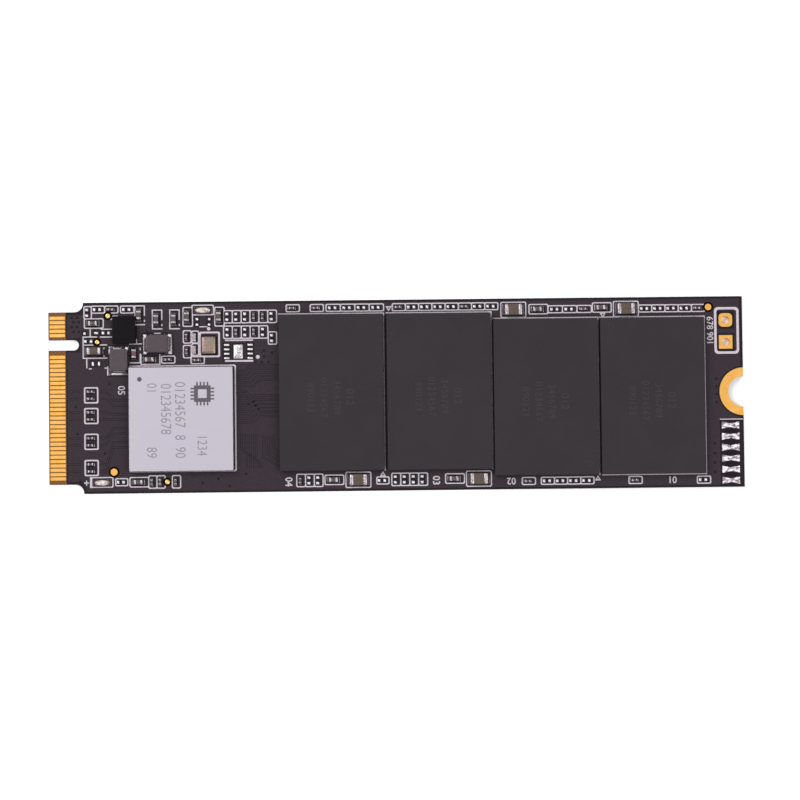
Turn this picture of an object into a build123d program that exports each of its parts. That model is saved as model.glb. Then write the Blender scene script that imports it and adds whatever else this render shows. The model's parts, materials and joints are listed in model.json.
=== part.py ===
from build123d import *
import os

os.makedirs("parts", exist_ok=True)

# A solid state drive on a bare M.2 2280 card: a circuit board with a key M edge connector,
# a controller, four memory packages and the small parts that feed them.
# Millimetres. The origin is the middle of the card's underside, +X runs from the edge
# connector to the screw notch, and +Z comes out of the side that carries the parts.

# ---------------------------------------------------------------- driving dimensions

card_length = 80.0
card_width = 22.0
card_thickness = 0.8
mask_thickness = 0.02
copper_thickness = 0.03
inlay_depth = 0.02
ink_thickness = 0.01

tongue_length = 4.0
tongue_width = 19.85
shoulder_radius = 1.0
edge_bevel = 0.12
key_y = 6.125
key_width = 1.2
key_depth = 3.5
notch_radius = 1.75
notch_ring_radius = 2.75

pin_pitch = 0.25
first_pin_y = -9.25
contact_width = 0.37
contact_tip_gap = 0.15
top_contact_length = 1.77
bottom_contact_length = 2.2
contact_corner = 0.06
bare_top_length = 2.03

header_x = 38.05
header_pin_ys = (8.26, 5.72)
header_pad = 1.56
header_pad_corner = 0.45
header_hole_radius = 0.45
barrel_wall = 0.16
header_frame = (2.85, 5.4)
header_frame_line = 0.275
header_frame_corner = 0.45
header_frame_offset = (0.12, 0.06)

memory_size = (12.0, 18.0)
memory_centers = ((-7.5, 0.35), (4.9, 0.35), (17.2, -0.4), (29.5, -0.4))
memory_ball_height = 0.25
memory_substrate_height = 0.2
memory_cap_height = 0.6
memory_cap_edge = 0.04
memory_outline_gap = (0.1, 0.13)
memory_ball_radius = 0.23
memory_ball_pitch = 1.0
memory_ball_grid = (11, 12)
die_size = (8.6, 12.4)
die_thickness = 0.09
die_count = 4
die_step = 0.3

controller_center = (-24.78, -2.55)
controller_side = 12.0
controller_ball_height = 0.23
controller_substrate_height = 0.32
controller_ball_radius = 0.17
controller_ball_pitch = 0.65
controller_ball_rows = 17
controller_die_side = 5.4
controller_die_height = 0.3
compound_height = 0.05
lid_side = 11.94
lid_wall = 1.1
lid_plate = 0.28
lid_corner = 0.12
lid_edge = 0.05
lid_hollow_corner = 0.5

power_chip_center = (-31.24, 7.79)
power_chip_size = (2.55, 3.14)
power_chip_height = 0.74
power_chip_edge = 0.03
power_lead_size = (0.4, 0.25)
power_lead_height = 0.05
power_lead_pitch = 0.5
power_lead_count = 6
power_middle_pad = (1.4, 2.2)

inductor_length = 2.6
inductor_width = 2.05
inductor_height = 1.15
inductor_corner = 0.3
inductor_edge = 0.06
inductor_foil = 0.06
inductor_foil_width = 1.3
inductor_foil_reach = 0.6
inductor_flap_height = 0.55
coil_outer_radius = 0.78
coil_inner_radius = 0.36
coil_height = 0.6

crystal_center = (-21.57, 5.95)
crystal_size = (1.6, 2.0)
crystal_base_height = 0.35
crystal_wall = 0.25
crystal_cavity_depth = 0.2
crystal_ledge_width = 0.2
crystal_ledge_height = 0.06
crystal_blank_size = (0.8, 1.3)
crystal_blank_thickness = 0.04
crystal_lid_inset = 0.04
crystal_lid_height = 0.1
crystal_lid_corner = 0.15
crystal_lid_edge = 0.04
crystal_pad = (0.6, 0.7)
crystal_pad_out = (0.45, 0.65)

led_centers = ((-22.22, 9.98), (-33.92, -9.75))
led_size = (1.6, 0.8)
led_base_height = 0.25
led_terminal = 0.28
led_lens_size = (1.3, 0.74)
led_lens_height = 0.3
led_lens_draft = 12
led_lens_edge = 0.08

debug_pad_x = 38.45
debug_pad_first_y = -3.9
debug_pad_pitch = 1.27
debug_pad_count = 6
debug_pad_reach = 1.0
debug_pad_end = 0.4
debug_pad_waist = 0.21

ink_line = 0.13
ink_shift = 0.12
ink_frame_corner = 0.2
ink_triangle_radius = 0.4
ink_triangle_opening = 0.16
ink_clearance = 0.05

# Sizes of chip parts: length, width, height, length of each end terminal
tiny_chip = (0.6, 0.3, 0.3, 0.15)
small_chip = (1.0, 0.55, 0.5, 0.26)
input_chip = (1.6, 0.85, 0.8, 0.36)
bulk_chip = (2.0, 1.28, 0.85, 0.45)
resistor_chip = (0.9, 0.4, 0.3, 0.16)
fuse_chip = (1.0, 0.5, 0.42, 0.24)

# Footprints of chip parts: length and width of each pad, and how far its middle is out
tiny_pads = (0.3, 0.34, 0.325)
small_pads = (0.5, 0.66, 0.5)
input_pads = (0.6, 0.95, 0.8)
bulk_pads = (0.6, 1.32, 0.95)
resistor_pads = (0.3, 0.42, 0.4)
fuse_pads = (0.4, 0.56, 0.46)
inductor_pads = (0.9, 2.32, 1.2)
led_pads = (0.5, 0.8, 0.78)

# ---------------------------------------------------------------- heights on the card

laminate_top = card_thickness - mask_thickness
seat_z = laminate_top + copper_thickness
half_length = card_length / 2
half_width = card_width / 2

# ---------------------------------------------------------------- where the chip parts stand

# Rows of small cells: first cell's x, the row's y, cells, pitch, and the cells that hold a part.
# The part in a cell lies along X in the first list and along Y in the second.
rows_along_x = [
    (-34.4, 10.2, 1, 1.53, ()),
    (-32.85, 10.2, 1, 1.53, (0,)),
    (-31.03, 10.18, 1, 1.53, ()),
    (-11.97, 10.13, 1, 1.53, (0,)),
    (-9.2, 10.13, 1, 1.53, (0,)),
    (-7.31, 10.13, 4, 1.66, ()),
    (0.25, 10.13, 8, 1.526, (0, 5)),
    (18.3, 9.7, 3, 1.67, (2,)),
    (28.68, 9.68, 5, 1.53, (4,)),
    (-26.35, 4.35, 1, 1.53, (0,)),
    (-22.97, 4.25, 1, 1.53, (0,)),
    (-31.8, -9.7, 1, 1.4, ()),
    (-1.8, -9.83, 1, 1.4, ()),
    (14.99, -10.08, 1, 1.53, (0,)),
    (17.18, -10.08, 4, 1.52, ()),
    (27.29, -10.1, 1, 1.53, (0,)),
    (35.18, -10.15, 1, 1.53, ()),
]
rows_along_y = [
    (-35.58, 9.85, 1, 0.85, ()),
    (-19.45, 9.22, 6, 1.02, (3, 4)),
    (-19.45, 7.43, 5, 1.02, (1, 3)),
    (-14.34, 6.72, 1, 0.95, ()),
    (-24.15, 6.95, 1, 0.9, (0,)),
    (-24.15, 5.25, 1, 0.9, (0,)),
    (-28.23, -9.72, 2, 0.94, (0, 1)),
    (-25.52, -9.72, 1, 0.95, (0,)),
    (-11.2, -9.73, 3, 1.01, (0,)),
    (-0.26, -9.73, 4, 1.03, ()),
]
row_frame_width = 0.94
row_frame_length = 1.56

# Four boxes by the edge connector, each round two parts that lie along X
coupling_box_x = -35.24
coupling_box_ys = (0.33, -2.05, -5.02, -8.03)
coupling_box_size = (1.66, 1.88)
coupling_part_offset = 0.41
coupling_box_line = 0.16

small_along_x = [
    (-34.88, 8.6),
    (-29.78, -9.72),
    (-28.4, 4.37),
    (-7.38, -9.7),
    (6.5, -9.7),
    (16.35, 9.73),
    (23.68, 9.85),
]
small_along_y = [
    (-29.6, 9.5),
    (-27.6, 8.99),
    (-25.6, 8.99),
    (-24.07, 9.25),
    (-20.42, 9.25),
]
small_frame = (2.3, 1.22)

# The outline of the first is open along its top; those of the rest have a gap in the right side
open_above = [(-28.4, 4.37)]
open_right = [(-29.6, 9.5), (-27.6, 8.99), (-25.6, 8.99)]

input_centers = [(-34.77, 5.39)]
bulk_centers = [(13.58, 9.68), (26.57, 9.66), (-4.5, -9.72), (9.37, -9.74)]
bulk_frame = (3.0, 1.88)
resistor_frame = (0.9, 1.5)
led_frame = (2.6, 1.24)
end_frame_shift = 0.05
controller_frame = (-24.62, -2.44, 12.32, 12.3)
crystal_frame = (-21.46, 6.05, 2.4, 2.96)
resistor_centers = [(-23.23, 6.87), (-23.23, 5.44)]
fuse_centers = [(-30.18, 5.05)]

inductor_1_center = (-31.9, 4.27)
inductor_2_center = (-27.45, 6.14)

# Empty footprints of chips that are left off this card: each pad's centre and size
memory_chip_pad_xs = (-19.5, -16.8)
memory_chip_pad_ys = (5.97, 5.46, 4.95, 4.44)
memory_chip_pad = (0.6, 0.22)
memory_chip_center_pad = (-18.18, 5.2, 1.05, 1.6)
sensor_pad_xs = (-22.9, -21.5)
sensor_pad_ys = (8.98, 8.35)
sensor_pad = (0.28, 0.28)
left_off_pads = [
    (-34.9, 3.95, 0.25, 0.45),
    (-34.2, 3.95, 0.25, 0.45),
    (-35.85, 7.45, 0.25, 0.3),
    (-34.5, 7.5, 0.45, 0.25),
    (-33.72, 7.5, 0.3, 0.34),
    (-33.07, 7.5, 0.3, 0.34),
    (-35.75, 6.55, 0.3, 0.34),
    (-35.1, 6.55, 0.3, 0.34),
]

# Bare gilded test points: x, y, diameter
test_points = [
    (36.08, 9.78, 0.8),
    (-33.14, 9.46, 0.6),
    (-34.4, 6.45, 0.55),
    (-32.55, -8.53, 0.86),
    (-26.45, -9.73, 0.6),
]


# ---------------------------------------------------------------- helpers


def save(builder, name):
    """Label a finished piece and write it."""
    builder.part.label = name
    export_step(builder.part, f"parts/{name}.step")


def add_bar(bars, x, y, length, width):
    """Note a rectangle; those of one size are drawn together."""
    size = (round(length, 4), round(width, 4))
    bars.setdefault(size, []).append((x, y))


def draw_bars(bars, mode=Mode.ADD):
    """Draw all the noted rectangles in the sketch that is open."""
    for size, places in bars.items():
        with Locations(*places):
            Rectangle(*size, mode=mode)


def add_frame(frames, x, y, length, width, line=ink_line):
    """Note a rounded outline of this outer size; those of one size are drawn together."""
    size = (round(length, 4), round(width, 4), line)
    frames.setdefault(size, []).append((x, y))


def draw_frames(frames):
    """Draw all the noted outlines in the sketch that is open, every outside before any inside."""
    for (length, width, line), places in frames.items():
        with Locations(*places):
            RectangleRounded(length, width, ink_frame_corner)
    for (length, width, line), places in frames.items():
        inner_corner = ink_frame_corner - line / 2
        with Locations(*places):
            RectangleRounded(length - 2 * line, width - 2 * line, inner_corner, mode=Mode.SUBTRACT)


def add_line(bars, start, end, line=ink_line):
    """One bar along X or Y between two points."""
    middle = ((start[0] + end[0]) / 2, (start[1] + end[1]) / 2)
    length = abs(end[0] - start[0]) + line
    width = abs(end[1] - start[1]) + line
    add_bar(bars, *middle, length, width)


def add_gapped_frame(bars, x, y, length, width):
    """An outline whose right side stops half way down and goes on as a dot."""
    out_x = (length - ink_line) / 2
    out_y = (width - ink_line) / 2
    add_line(bars, (x - out_x, y - out_y), (x - out_x, y + out_y))
    for side in (-1, 1):
        add_line(bars, (x - out_x, y + side * out_y), (x + out_x, y + side * out_y))
    add_line(bars, (x + out_x, y), (x + out_x, y + out_y))
    add_line(bars, (x + out_x, y - 0.55 * out_y), (x + out_x, y - 0.65 * out_y))


def add_open_frame(bars, x, y, length, width):
    """An outline with no line along its top."""
    out_x = (length - ink_line) / 2
    out_y = (width - ink_line) / 2
    add_line(bars, (x - out_x, y - out_y), (x + out_x, y - out_y))
    for side in (-1, 1):
        add_line(bars, (x + side * out_x, y - out_y), (x + side * out_x, y + out_y))


def add_footprint_x(pads, x, y, footprint):
    """The two pads of a chip that lies along X."""
    length, width, out = footprint
    for side in (-1, 1):
        add_bar(pads, x + side * out, y, length, width)


def add_footprint_y(pads, x, y, footprint):
    """The two pads of a chip that lies along Y."""
    length, width, out = footprint
    for side in (-1, 1):
        add_bar(pads, x, y + side * out, width, length)


def card_outline():
    """The card's outline in the sketch that is open: tongue, key slot and screw notch."""
    Rectangle(card_length, card_width)
    step = (card_width - tongue_width) / 2
    corner_x = -half_length + tongue_length / 2
    corner_y = half_width - step / 2
    with Locations((corner_x, corner_y), (corner_x, -corner_y)):
        Rectangle(tongue_length, step, mode=Mode.SUBTRACT)
    with Locations((-half_length, key_y)):
        SlotCenterToCenter(2 * key_depth - key_width, key_width, mode=Mode.SUBTRACT)
    with Locations((half_length, 0)):
        Circle(notch_radius, mode=Mode.SUBTRACT)


def header_holes(radius, mode):
    """A circle at each header hole, in the sketch that is open."""
    with Locations(*[(header_x, pin_y) for pin_y in header_pin_ys]):
        Circle(radius, mode=mode)


def contact_rows(pins, length):
    """The edge contacts of these pins, in the sketch that is open."""
    middle_x = contact_tip_gap + length / 2 - half_length
    with Locations(*[(middle_x, first_pin_y + pin_pitch * (pin - 1)) for pin in pins]):
        RectangleRounded(length, contact_width, contact_corner)


def notch_ring():
    """The half ring of copper round the screw notch, in the sketch that is open."""
    with Locations((half_length, 0)):
        Circle(notch_ring_radius)
        Circle(notch_radius, mode=Mode.SUBTRACT)
    with Locations((half_length + notch_ring_radius, 0)):
        Rectangle(2 * notch_ring_radius, 2 * notch_ring_radius, mode=Mode.SUBTRACT)


def shoulder_corners(sketch):
    """The two inside corners where the tongue meets the card's shoulders."""
    corner_x = tongue_length - half_length
    corner_y = tongue_width / 2
    return [
        vertex
        for vertex in sketch.vertices()
        if abs(vertex.X - corner_x) < 0.01 and abs(abs(vertex.Y) - corner_y) < 0.01
    ]


# ---------------------------------------------------------------- pads and ink, by size

part_pads = {}
empty_pads = {}
ink_bars = {}
ink_frames = {}
tiny_along_x = []
tiny_along_y = []

for first_x, y, cells, pitch, fitted in rows_along_x:
    for cell in range(cells):
        x = first_x + cell * pitch
        if cell in fitted:
            tiny_along_x.append((x, y))
        add_footprint_x(part_pads if cell in fitted else empty_pads, x, y, tiny_pads)
        add_frame(ink_frames, x + ink_shift, y, pitch + ink_line, row_frame_width)

for first_x, y, cells, pitch, fitted in rows_along_y:
    for cell in range(cells):
        x = first_x + cell * pitch
        if cell in fitted:
            tiny_along_y.append((x, y))
        add_footprint_y(part_pads if cell in fitted else empty_pads, x, y, tiny_pads)
        add_frame(ink_frames, x + ink_shift, y, pitch + ink_line, row_frame_length)

for box_y in coupling_box_ys:
    add_frame(
        ink_frames, coupling_box_x + ink_shift, box_y, *coupling_box_size, line=coupling_box_line
    )
    for side in (-1, 1):
        spot = (coupling_box_x, box_y + side * coupling_part_offset)
        tiny_along_x.append(spot)
        add_footprint_x(part_pads, *spot, tiny_pads)

for x, y in small_along_x:
    add_footprint_x(part_pads, x, y, small_pads)
    if (x, y) in open_above:
        add_open_frame(ink_bars, x + ink_shift, y, *small_frame)
    else:
        add_frame(ink_frames, x + ink_shift, y, *small_frame)
for x, y in small_along_y:
    add_footprint_y(part_pads, x, y, small_pads)
    if (x, y) in open_right:
        add_gapped_frame(ink_bars, x + ink_shift, y, small_frame[1], small_frame[0])
    else:
        add_frame(ink_frames, x + ink_shift, y, small_frame[1], small_frame[0])
for x, y in resistor_centers:
    add_footprint_y(part_pads, x, y, resistor_pads)
    add_frame(ink_frames, x + ink_shift, y + end_frame_shift, *resistor_frame)
for x, y in fuse_centers:
    add_footprint_y(part_pads, x, y, fuse_pads)
for x, y in input_centers:
    add_footprint_x(part_pads, x, y, input_pads)
for x, y in bulk_centers:
    add_footprint_x(part_pads, x, y, bulk_pads)
    add_frame(ink_frames, x, y, *bulk_frame)
for x, y in led_centers:
    add_footprint_x(part_pads, x, y, led_pads)
    add_frame(ink_frames, x, y + end_frame_shift, *led_frame)

add_footprint_y(part_pads, *inductor_1_center, inductor_pads)
add_footprint_x(part_pads, *inductor_2_center, inductor_pads)

for side_x in (-1, 1):
    for side_y in (-1, 1):
        corner_x = crystal_center[0] + side_x * crystal_pad_out[0]
        corner_y = crystal_center[1] + side_y * crystal_pad_out[1]
        add_bar(part_pads, corner_x, corner_y, *crystal_pad)

power_lead_rows = [
    power_lead_pitch * (lead - (power_lead_count - 1) / 2) for lead in range(power_lead_count)
]
power_leads = {}
for side in (-1, 1):
    for row in power_lead_rows:
        lead_x = power_chip_center[0] + side * (power_chip_size[0] - power_lead_size[0]) / 2
        add_bar(power_leads, lead_x, power_chip_center[1] + row, *power_lead_size)
add_bar(power_leads, *power_chip_center, *power_middle_pad)
for size, places in power_leads.items():
    part_pads.setdefault(size, []).extend(places)

for x in memory_chip_pad_xs:
    for y in memory_chip_pad_ys:
        add_bar(empty_pads, x, y, *memory_chip_pad)
add_bar(empty_pads, *memory_chip_center_pad)
for x in sensor_pad_xs:
    for y in sensor_pad_ys:
        add_bar(empty_pads, x, y, *sensor_pad)
for x, y, length, width in left_off_pads:
    add_bar(empty_pads, x, y, length, width)

# Lines along the top and right of each memory package, and an outline that the
# controller's package hides except along the same two sides
for x, y in memory_centers:
    right = x + memory_size[0] / 2 + memory_outline_gap[0]
    top = y + memory_size[1] / 2 + memory_outline_gap[1]
    add_line(ink_bars, (x - memory_size[0] / 2, top), (right, top))
    add_line(ink_bars, (right, y - memory_size[1] / 2), (right, top))
add_line(ink_bars, (23.6, -9.47), (35.6, -9.47), line=0.1)
add_frame(ink_frames, *controller_frame, line=0.16)
add_frame(ink_frames, *crystal_frame, line=0.2)

# Short strokes round the power parts and the empty footprints
add_line(ink_bars, (-19.6, 6.5), (-16.55, 6.5), line=0.16)
add_line(ink_bars, (-19.6, 4.12), (-16.55, 4.12), line=0.2)
add_line(ink_bars, (-22.55, 8.1), (-21.75, 8.1), line=0.12)
add_line(ink_bars, (-36.0, 4.6), (-36.0, 7.05))
add_line(ink_bars, (-36.0, 4.6), (-33.3, 4.6))
add_line(ink_bars, (-36.0, 6.12), (-34.9, 6.12))
add_line(ink_bars, (-34.1, 6.12), (-33.3, 6.12))
add_line(ink_bars, (-36.0, 7.05), (-34.45, 7.05))
add_line(ink_bars, (-35.18, 7.1), (-35.18, 7.9))
add_line(ink_bars, (-33.9, 7.93), (-32.75, 7.93))
add_line(ink_bars, (-34.0, 7.03), (-32.75, 7.03))
add_line(ink_bars, (-35.6, 3.5), (-35.6, 4.45))
add_line(ink_bars, (-35.3, 3.38), (-35.1, 3.38))
add_line(ink_bars, (-33.5, 3.45), (-33.3, 3.45))
add_line(ink_bars, (-33.62, 4.8), (-33.62, 4.85))
add_line(ink_bars, (-33.62, 5.7), (-33.62, 5.75))
add_line(ink_bars, (-33.2, 2.65), (-33.2, 3.6), line=0.14)
add_line(ink_bars, (-32.55, 9.44), (-32.05, 9.44))
add_line(ink_bars, (-30.65, 6.2), (-29.3, 6.2))
add_line(ink_bars, (-29.85, 6.2), (-29.85, 6.7), line=0.1)
add_line(ink_bars, (-30.6, 4.02), (-29.4, 4.02))
add_line(ink_bars, (-29.45, 4.1), (-29.45, 5.0))
add_line(ink_bars, (-29.45, 5.55), (-29.45, 5.7))
add_line(ink_bars, (-27.75, 7.4), (-27.15, 7.4))
add_line(ink_bars, (37.3, -3.2), (39.85, -3.2), line=0.1)
add_line(ink_bars, (-35.2, -10.2), (-35.2, -9.2), line=0.26)
add_line(ink_bars, (-35.95, -9.75), (-35.5, -9.75), line=0.12)
add_line(ink_bars, (-35.72, -9.98), (-35.72, -9.52), line=0.12)

# Pin 1 marks: round dots (x, y, diameter) and small open triangles (x, y, direction in degrees)
ink_dots = [(-32.78, 9.1, 0.26), (-21.55, 7.86, 0.4), (-15.93, 4.56, 0.44)]
ink_triangles = [(-0.81, 10.05, -90), (23.88, 9.02, -90), (-1.67, -9.15, 90), (23.08, -9.9, 90)]

# ---------------------------------------------------------------- circuit board

# Pins are numbered along Y, odd ones on top and even ones below, and the key takes a gap
top_pins = [*range(1, 58, 2), *range(67, 76, 2)]
bottom_pins = [*range(2, 59, 2), *range(68, 75, 2)]

with BuildPart() as laminate:
    with BuildSketch() as laminate_outline:
        card_outline()
        header_holes(header_hole_radius + barrel_wall, Mode.SUBTRACT)
        fillet(shoulder_corners(laminate_outline), shoulder_radius)
    extrude(amount=laminate_top)
    tip_edges = laminate.edges().filter_by(Axis.Y).group_by(Axis.X)[0]
    chamfer(tip_edges, edge_bevel)
    with BuildSketch():
        notch_ring()
        contact_rows(bottom_pins, bottom_contact_length)
        header_holes(header_pad / 2, Mode.ADD)
    extrude(amount=inlay_depth, mode=Mode.SUBTRACT)
save(laminate, "circuit_board")

with BuildPart() as mask_top:
    with BuildSketch(Plane.XY.offset(laminate_top)) as mask_top_outline:
        card_outline()
        fillet(shoulder_corners(mask_top_outline), shoulder_radius)
        with Locations((-half_length, 0)):
            Rectangle(2 * bare_top_length, card_width, mode=Mode.SUBTRACT)
        with Locations((half_length, 0)):
            Circle(notch_ring_radius, mode=Mode.SUBTRACT)
        with Locations((header_x, header_pin_ys[0])):
            RectangleRounded(header_pad, header_pad, header_pad_corner, mode=Mode.SUBTRACT)
        with Locations((header_x, header_pin_ys[1])):
            Rectangle(header_pad, header_pad, mode=Mode.SUBTRACT)
        for x, y, diameter in test_points:
            with Locations((x, y)):
                Circle(diameter / 2, mode=Mode.SUBTRACT)
        draw_bars(part_pads, mode=Mode.SUBTRACT)
        draw_bars(empty_pads, mode=Mode.SUBTRACT)
    extrude(amount=mask_thickness)
save(mask_top, "solder_mask_top")

with BuildPart() as contacts_top:
    with BuildSketch(Plane.XY.offset(laminate_top)):
        contact_rows(top_pins, top_contact_length)
    extrude(amount=copper_thickness)
save(contacts_top, "edge_contacts_top")

with BuildPart() as contacts_bottom:
    with BuildSketch():
        contact_rows(bottom_pins, bottom_contact_length)
    extrude(amount=inlay_depth)
save(contacts_bottom, "edge_contacts_bottom")

with BuildPart() as notch_rings:
    with BuildSketch(Plane.XY.offset(laminate_top)):
        notch_ring()
    extrude(amount=copper_thickness)
    with BuildSketch():
        notch_ring()
    extrude(amount=inlay_depth)
save(notch_rings, "screw_notch_rings")

# Each header hole is a barrel through the board with a pad at each end; the top pads are a square
# with well rounded corners and a plain square
for shape, pin_y in zip(("round", "square"), header_pin_ys):
    with BuildPart() as plated_hole:
        with BuildSketch(Plane.XY.offset(laminate_top)):
            with Locations((header_x, pin_y)):
                if shape == "round":
                    RectangleRounded(header_pad, header_pad, header_pad_corner)
                else:
                    Rectangle(header_pad, header_pad)
        extrude(amount=copper_thickness)
        with BuildSketch():
            with Locations((header_x, pin_y)):
                Circle(header_pad / 2)
        extrude(amount=inlay_depth)
        with BuildSketch():
            with Locations((header_x, pin_y)):
                Circle(header_hole_radius + barrel_wall)
        extrude(amount=laminate_top)
        with BuildSketch():
            with Locations((header_x, pin_y)):
                Circle(header_hole_radius)
        extrude(amount=seat_z, mode=Mode.SUBTRACT)
    save(plated_hole, f"header_hole_{shape}_plating")

with BuildPart() as gilded_points:
    with BuildSketch(Plane.XY.offset(laminate_top)):
        for x, y, diameter in test_points:
            with Locations((x, y)):
                Circle(diameter / 2)
    extrude(amount=copper_thickness)
save(gilded_points, "test_points")

with BuildPart() as lands:
    with BuildSketch(Plane.XY.offset(laminate_top)):
        draw_bars(part_pads)
    extrude(amount=copper_thickness)
save(lands, "component_pads")

with BuildPart() as spare_lands:
    with BuildSketch(Plane.XY.offset(laminate_top)):
        draw_bars(empty_pads)
    extrude(amount=copper_thickness)
save(spare_lands, "empty_footprint_pads")

# Six waisted pads in a column by the screw notch end; they stand on the mask
debug_pad_outline = [
    (-debug_pad_reach, -debug_pad_end),
    (0, -debug_pad_waist),
    (debug_pad_reach, -debug_pad_end),
    (debug_pad_reach, debug_pad_end),
    (0, debug_pad_waist),
    (-debug_pad_reach, debug_pad_end),
]
header_middle_y = sum(header_pin_ys) / 2

with BuildPart() as debug_pads:
    with BuildSketch(Plane.XY.offset(card_thickness)):
        for pad in range(debug_pad_count):
            pad_y = debug_pad_first_y - pad * debug_pad_pitch
            with Locations((debug_pad_x, pad_y)):
                Polygon(*debug_pad_outline)
    extrude(amount=copper_thickness)
save(debug_pads, "debug_pads")

with BuildPart() as legend:
    with BuildSketch(Plane.XY.offset(card_thickness)):
        draw_frames(ink_frames)
        with Locations((header_x + header_frame_offset[0], header_middle_y + header_frame_offset[1])):
            RectangleRounded(*header_frame, header_frame_corner)
            RectangleRounded(
                header_frame[0] - 2 * header_frame_line,
                header_frame[1] - 2 * header_frame_line,
                header_frame_corner - header_frame_line / 2,
                mode=Mode.SUBTRACT,
            )
        draw_bars(ink_bars)
        for x, y, diameter in ink_dots:
            with Locations((x, y)):
                Circle(diameter / 2)
        for x, y, direction in ink_triangles:
            with Locations((x, y)):
                RegularPolygon(ink_triangle_radius, 3, rotation=direction)
                RegularPolygon(ink_triangle_opening, 3, rotation=direction, mode=Mode.SUBTRACT)
        draw_bars(part_pads, mode=Mode.SUBTRACT)
        draw_bars(empty_pads, mode=Mode.SUBTRACT)
        for x, y, diameter in test_points:
            with Locations((x, y)):
                Circle(diameter / 2 + ink_clearance, mode=Mode.SUBTRACT)
    extrude(amount=ink_thickness)
save(legend, "silkscreen_legend")

# ---------------------------------------------------------------- memory packages

memory_substrate_z = card_thickness + memory_ball_height
memory_cap_z = memory_substrate_z + memory_substrate_height

# Each die lies on the one below and a step further along Y
die_layers = [
    (memory_cap_z + layer * die_thickness, die_step * (layer - (die_count - 1) / 2))
    for layer in range(die_count)
]

for number, (x, y) in enumerate(memory_centers, start=1):
    with BuildPart() as memory_balls:
        with BuildSketch(Plane.XY.offset(card_thickness)):
            with Locations((x, y)):
                with GridLocations(memory_ball_pitch, memory_ball_pitch, *memory_ball_grid):
                    Circle(memory_ball_radius)
        extrude(amount=memory_ball_height)
    save(memory_balls, f"memory_{number}_solder_balls")

    with BuildPart() as memory_substrate:
        with BuildSketch(Plane.XY.offset(memory_substrate_z)):
            with Locations((x, y)):
                Rectangle(*memory_size)
        extrude(amount=memory_substrate_height)
    save(memory_substrate, f"memory_{number}_substrate")

    with BuildPart() as memory_dies:
        for die_z, shift in die_layers:
            with BuildSketch(Plane.XY.offset(die_z)):
                with Locations((x, y + shift)):
                    Rectangle(*die_size)
            extrude(amount=die_thickness)
    save(memory_dies, f"memory_{number}_die_stack")

    with BuildPart() as memory_cap:
        with BuildSketch(Plane.XY.offset(memory_cap_z)):
            with Locations((x, y)):
                Rectangle(*memory_size)
        extrude(amount=memory_cap_height)
        fillet(memory_cap.edges().group_by(Axis.Z)[-1], memory_cap_edge)
        for die_z, shift in die_layers:
            with BuildSketch(Plane.XY.offset(die_z)):
                with Locations((x, y + shift)):
                    Rectangle(*die_size)
            extrude(amount=die_thickness, mode=Mode.SUBTRACT)
    save(memory_cap, f"memory_{number}_mould_cap")

# ---------------------------------------------------------------- controller

controller_substrate_z = card_thickness + controller_ball_height
controller_die_z = controller_substrate_z + controller_substrate_height
compound_z = controller_die_z + controller_die_height
lid_plate_z = compound_z + compound_height

with BuildPart() as controller_balls:
    with BuildSketch(Plane.XY.offset(card_thickness)):
        with Locations(controller_center):
            with GridLocations(
                controller_ball_pitch,
                controller_ball_pitch,
                controller_ball_rows,
                controller_ball_rows,
            ):
                Circle(controller_ball_radius)
    extrude(amount=controller_ball_height)
save(controller_balls, "controller_solder_balls")

with BuildPart() as controller_substrate:
    with BuildSketch(Plane.XY.offset(controller_substrate_z)):
        with Locations(controller_center):
            Rectangle(controller_side, controller_side)
    extrude(amount=controller_substrate_height)
save(controller_substrate, "controller_substrate")

with BuildPart() as controller_die:
    with BuildSketch(Plane.XY.offset(controller_die_z)):
        with Locations(controller_center):
            Rectangle(controller_die_side, controller_die_side)
    extrude(amount=controller_die_height)
save(controller_die, "controller_die")

with BuildPart() as controller_compound:
    with BuildSketch(Plane.XY.offset(compound_z)):
        with Locations(controller_center):
            Rectangle(controller_die_side, controller_die_side)
    extrude(amount=compound_height)
save(controller_compound, "controller_thermal_compound")

with BuildPart() as controller_lid:
    with BuildSketch(Plane.XY.offset(controller_die_z)):
        with Locations(controller_center):
            RectangleRounded(lid_side, lid_side, lid_corner)
    extrude(amount=lid_plate_z + lid_plate - controller_die_z)
    fillet(controller_lid.edges().group_by(Axis.Z)[-1], lid_edge)
    with BuildSketch(Plane.XY.offset(controller_die_z)):
        with Locations(controller_center):
            RectangleRounded(lid_side - 2 * lid_wall, lid_side - 2 * lid_wall, lid_hollow_corner)
    extrude(amount=lid_plate_z - controller_die_z, mode=Mode.SUBTRACT)
save(controller_lid, "controller_lid")

# ---------------------------------------------------------------- power chip

with BuildPart() as chip_leads:
    with BuildSketch(Plane.XY.offset(seat_z)):
        draw_bars(power_leads)
    extrude(amount=power_lead_height)
save(chip_leads, "power_chip_leads")

with BuildPart() as power_chip:
    with BuildSketch(Plane.XY.offset(seat_z + power_lead_height)):
        with Locations(power_chip_center):
            Rectangle(*power_chip_size)
    extrude(amount=power_chip_height)
    fillet(power_chip.edges().group_by(Axis.Z)[-1], power_chip_edge)
save(power_chip, "power_chip_body")

# ---------------------------------------------------------------- power inductors


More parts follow.
